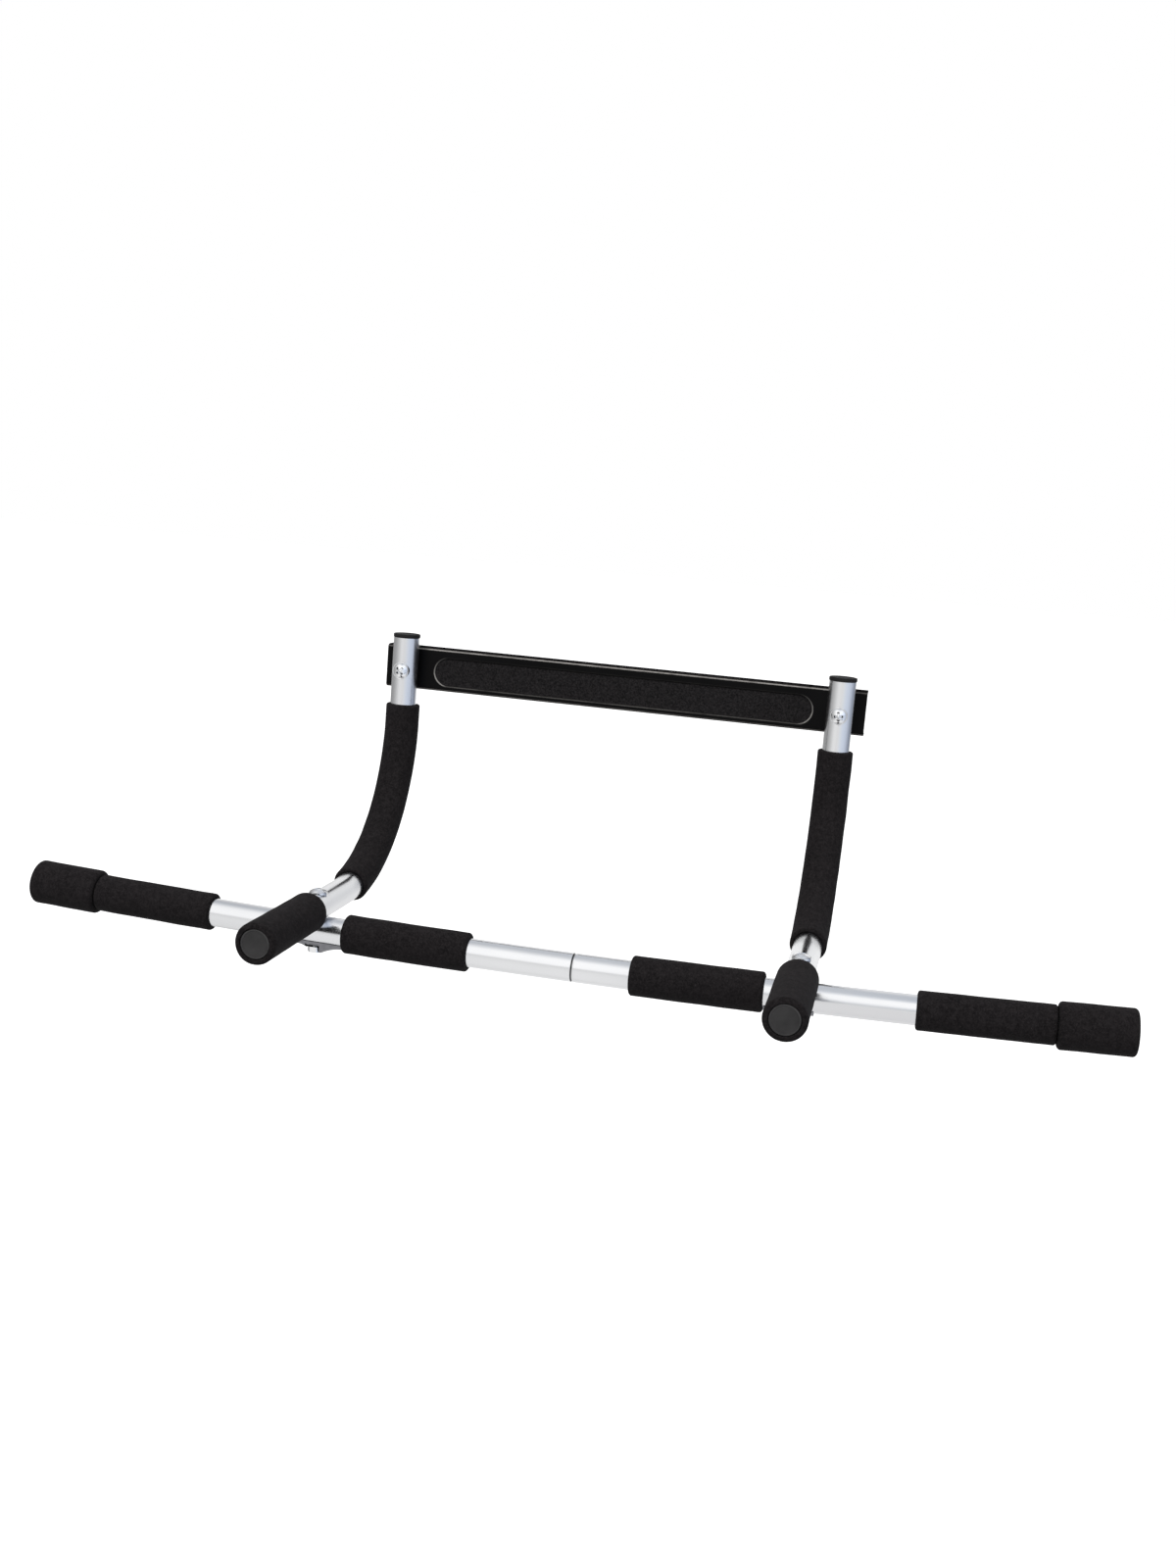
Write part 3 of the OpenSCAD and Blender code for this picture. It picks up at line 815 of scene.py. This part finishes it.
def make_saddle(tag, side):
    """Curved saddle under the bar: two lips that sweep down beside the nut."""
    arc = 17
    verts, faces = [], []
    stations = saddle_stations()
    for x, outer_r in stations:
        base = bar_point(ARM_X + x)
        for r, order in ((outer_r, 1), (SADDLE_IN, -1)):
            half = math.asin(SADDLE_W / 2 / r)
            for k in range(arc):
                a = order * half * (2 * k / (arc - 1) - 1)
                y, z = base.y + r * math.sin(a), base.z - r * math.cos(a)
                verts.append(Vector((side * base.x, y, z)))
    ring = 2 * arc
    faces += ring_faces(len(stations), ring, False)
    for start in (0, (len(stations) - 1) * ring):
        for k in range(arc - 1):
            faces.append((start + k, start + k + 1, start + ring - 2 - k, start + ring - 1 - k))
    finish_piece("saddle_" + tag, verts, faces, ["nut_saddle_" + tag])


def make_fasteners(tag, side):
    make_saddle(tag, side)
    over = Vector((side * ARM_X, BAR_Y, ARM_Z + LOW_CROWN))
    nut_seat = SADDLE_IN + SADDLE_T + NUT_GAP
    shank = LOW_CROWN + ARM_RISE + nut_seat + THIN_NUT + THIN_TAIL
    turn = Vector((math.cos(BAR_TURN * side), math.sin(BAR_TURN * side), 0))
    up = Vector((0, 0, 1))
    make_bolt("bolt_bar_" + tag, over, up, turn, shank, LOW_HEAD_H, ["bar_bolt_" + tag])
    front = Vector((side * ARM_X, UPRIGHT_Y - CROWN, PLATE_BOLT_Z))
    turn = Vector((math.cos(PLATE_TURN[tag]), 0, math.sin(PLATE_TURN[tag])))
    through = CROWN + TUBE_R + FIT + SHEET + FLAT_WASHER_T + NUT + TAIL
    forward = Vector((0, -1, 0))
    make_bolt("bolt_plate_" + tag, front, forward, turn, through, HEAD_H, ["plate_bolt_" + tag])


# ---- channel ----
SHEET_EDGE = 0.4 * MM
END_PINCH = 0.18


def recess_depth(x, z):
    """How far the web is pressed back: a long round-ended field with a soft rim."""
    off = max(0.0, abs(x) - (RECESS_HALF - RECESS_R))
    inward = RECESS_R - math.hypot(off, z - RECESS_Z)
    f = min(1.0, max(0.0, inward / RIM))
    return RECESS_T * f * f * (3 - 2 * f)


def channel_outline():
    """Pairs of outer and inner points (y, z) round the section, from edge to edge; the flag
    marks the web."""
    back = PLATE_FRONT + PLATE_DEPTH
    in_r = FOLD - SHEET
    out = [((back, SHEET_EDGE), (back, SHEET - SHEET_EDGE), False)]
    out += [((y, 0.0), (y, SHEET), False) for y in (back - SHEET_EDGE, back - 5 * MM)]
    for k in range(9):
        a = math.pi / 2 * k / 8
        c, s = math.cos(a), math.sin(a)
        y0 = PLATE_FRONT + FOLD
        out.append(((y0 - FOLD * s, FOLD - FOLD * c), (y0 - in_r * s, FOLD - in_r * c), k == 8))
    lower = out[:-1]
    for z in spread(FOLD, PLATE_H - FOLD, 0.5 * MM)[1:-1]:
        out.append(((PLATE_FRONT, z), (PLATE_FRONT + SHEET, z), True))
    top = [((y, PLATE_H - z), (yi, PLATE_H - zi), web) for (y, z), (yi, zi), web in lower]
    return out + top[::-1]


def channel_stations():
    """Distances along the channel, close together round the ends of the recess."""
    ends = (RECESS_HALF - RECESS_R - 1 * MM, RECESS_HALF + 1.5 * MM)
    half = spread(0, PLATE_HALF - SHEET_EDGE, 8 * MM, ends, 0.5 * MM)
    return [-PLATE_HALF] + [-x for x in reversed(half[1:])] + half + [PLATE_HALF]


def make_channel():
    outline = channel_outline()
    stations = channel_stations()
    count = len(outline)
    verts = []
    for x in stations:
        pinch = END_PINCH if abs(x) > PLATE_HALF - 0.1 * MM else 0.0
        outer, inner = [], []
        for (yo, zo), (yi, zi), web in outline:
            dy = recess_depth(x, zo) if web else 0.0
            o = Vector((x, yo + dy, zo))
            n = Vector((x, yi + dy, zi))
            outer.append(o.lerp(n, pinch))
            inner.append(n.lerp(o, pinch))
        verts += outer + inner[::-1]
    ring = 2 * count
    faces = ring_faces(len(stations), ring, False)
    for start in (0, (len(stations) - 1) * ring):
        for k in range(count - 1):
            faces.append((start + k, start + k + 1, start + ring - 2 - k, start + ring - 1 - k))
    finish_piece("channel", verts, faces, ["door_plate"])


# ---- build ----
make_bar()
make_channel()
make_washers()
for tag, side in SIDES.items():
    make_arm(tag, side)
    make_bar_foam(tag, side)
    make_arm_foam(tag, side)
    make_plugs(tag, side)
    make_fasteners(tag, side)


# ---- floor and light ----
FLOOR_Z = -1.6
FLOOR_HALF = 40


def floor_material():
    t = Mat("pale_floor")
    pale = t.ramp(t.noise(1.5, 3, 0.5), [(0.3, 0.86), (0.7, 0.9)])
    t.set(Base_Color=pale, Roughness=0.9, Emission_Color=(1.0, 1.0, 1.0), Emission_Strength=0.9)
    return t.m


def make_floor():
    """A pale floor far below, lit evenly to the horizon."""
    h = FLOOR_HALF
    mesh = bpy.data.meshes.new("floor")
    corners = [(-h, -h), (h, -h), (h, h), (-h, h)]
    mesh.from_pydata([(x, y, FLOOR_Z) for x, y in corners], [], [(0, 1, 2, 3)])
    mesh.materials.append(floor_material())
    floor = bpy.data.objects.new("floor", mesh)
    bpy.context.scene.collection.objects.link(floor)
    floor.visible_glossy = False
    floor.visible_diffuse = False


def area_light(name, at, target, size, power):
    """Soft rectangular light that is not itself mirrored in the gloss."""
    data = bpy.data.lights.new(name, "AREA")
    data.shape = "RECTANGLE"
    data.size, data.size_y = size
    data.energy = power
    light = bpy.data.objects.new(name, data)
    bpy.context.scene.collection.objects.link(light)
    light.visible_glossy = False
    light.location = at
    light.rotation_euler = (Vector(target) - Vector(at)).to_track_quat("-Z", "Y").to_euler()


# brightness of the studio as the gloss sees it, from straight below (0) to straight above (1),
# on the viewer's side and behind the object
FRONT_PANELS = [
    (0.0, 0.97), (0.25, 0.97), (0.36, 0.95), (0.46, 0.92), (0.50, 0.86), (0.54, 0.80),
    (0.58, 0.95), (0.63, 1.22), (0.93, 1.22), (0.975, (1.0, 1.01, 1.03)),
    (1.0, (0.78, 0.80, 0.84)),
]
BACK_PANELS = [
    (0.0, 0.97), (0.25, 0.95), (0.36, 1.0), (0.6, 1.02), (0.74, 0.95),
    (0.87, (0.72, 0.74, 0.78)), (0.96, (0.64, 0.67, 0.72)), (1.0, (0.78, 0.80, 0.84)),
]
# darkening of the level part all the way round: 0.5 is the viewer's side, 0.75 the right
SIDE_PANELS = [
    (0.0, 1.0), (0.06, 1.0), (0.11, 0.36), (0.20, 0.36), (0.27, 0.46), (0.33, 0.62),
    (0.385, 0.82), (0.43, 1.0), (0.525, 1.0), (0.58, (0.90, 0.95, 1.03)),
    (0.64, (0.80, 0.88, 1.02)), (0.715, (0.70, 0.77, 0.91)), (0.765, (0.50, 0.55, 0.66)),
    (0.81, (0.32, 0.36, 0.45)), (0.885, (0.24, 0.26, 0.30)), (0.94, 1.0), (1.0, 1.0),
]
# darker cards across the middle: heights where each begins, is full, stays full and ends
CARDS = (
    ((-1.2, -1.1, -0.2, -0.1), (0.80, 0.79, 0.80)),
    ((-0.02, 0.08, 0.3, 0.45), (0.60, 0.63, 0.68)),
    ((0.86, 0.95, 1.0, 1.1), (0.66, 0.70, 0.76)),
)
MATT_LEVEL = 0.45


def studio_gloss(t):
    """What the gloss sees: pale panels, darker at the sides and above, and three cards."""
    x, y, z = t.split(t.coord.outputs["Generated"])
    height = t.remap(z, -1.0, 1.0, 0.0, 1.0)
    front = t.ramp(height, FRONT_PANELS)
    behind = t.ramp(height, BACK_PANELS)
    facing = t.remap(y, -0.15, 0.25, 0.0, 1.0)
    turn = t.math("ARCTAN2", x, t.math("MULTIPLY", y, -1.0))
    tint = t.ramp(t.remap(turn, -math.pi, math.pi, 0.0, 1.0), SIDE_PANELS)
    level = t.remap(t.math("ABSOLUTE", z), 0.45, 0.9, 1.0, 0.15)
    gloss = t.mix(level, t.mix(facing, front, behind), tint, "MULTIPLY")
    card = t.remap(x, -0.08, -0.01, 0.0, 1.0)
    card = t.math("MULTIPLY", card, t.remap(x, 0.0, 0.16, 1.0, 0.2))
    card = t.math("MULTIPLY", card, t.remap(facing, 0.5, 1.0, 1.0, 0.6))
    for (begin, full, last, end), colour in CARDS:
        rise = t.remap(z, begin, full, 0.0, 1.0)
        fall = t.remap(z, last, end, 1.0, 0.0)
        band = t.math("MULTIPLY", card, t.math("MULTIPLY", rise, fall))
        gloss = t.mix(band, gloss, colour, "MULTIPLY")
    return gloss


def make_world():
    """White to the eye; soft white for matt surfaces; a studio of pale panels for gloss."""
    world = bpy.data.worlds.new("studio")
    world.use_nodes = True
    tree = world.node_tree
    t = Tree(tree)
    gloss = studio_gloss(t)
    path = t.add("LightPath")
    seen = t.mix(path.outputs["Is Glossy Ray"], (MATT_LEVEL,) * 3, gloss)
    seen = t.mix(path.outputs["Is Camera Ray"], seen, (1.0, 1.0, 1.0))
    tree.links.new(seen, tree.nodes["Background"].inputs["Color"])
    bpy.context.scene.world = world


make_floor()
make_world()
MIDDLE = (0, -0.15, -0.1)
area_light("key", (-0.95, -2.2, 2.0), MIDDLE, (1.3, 1.1), 55)
area_light("top", (0.4, 0.3, 2.4), MIDDLE, (1.6, 0.9), 14)
area_light("right", (2.3, -1.2, 0.7), MIDDLE, (0.8, 1.2), 9)
bpy.context.scene.view_settings.view_transform = "Standard"
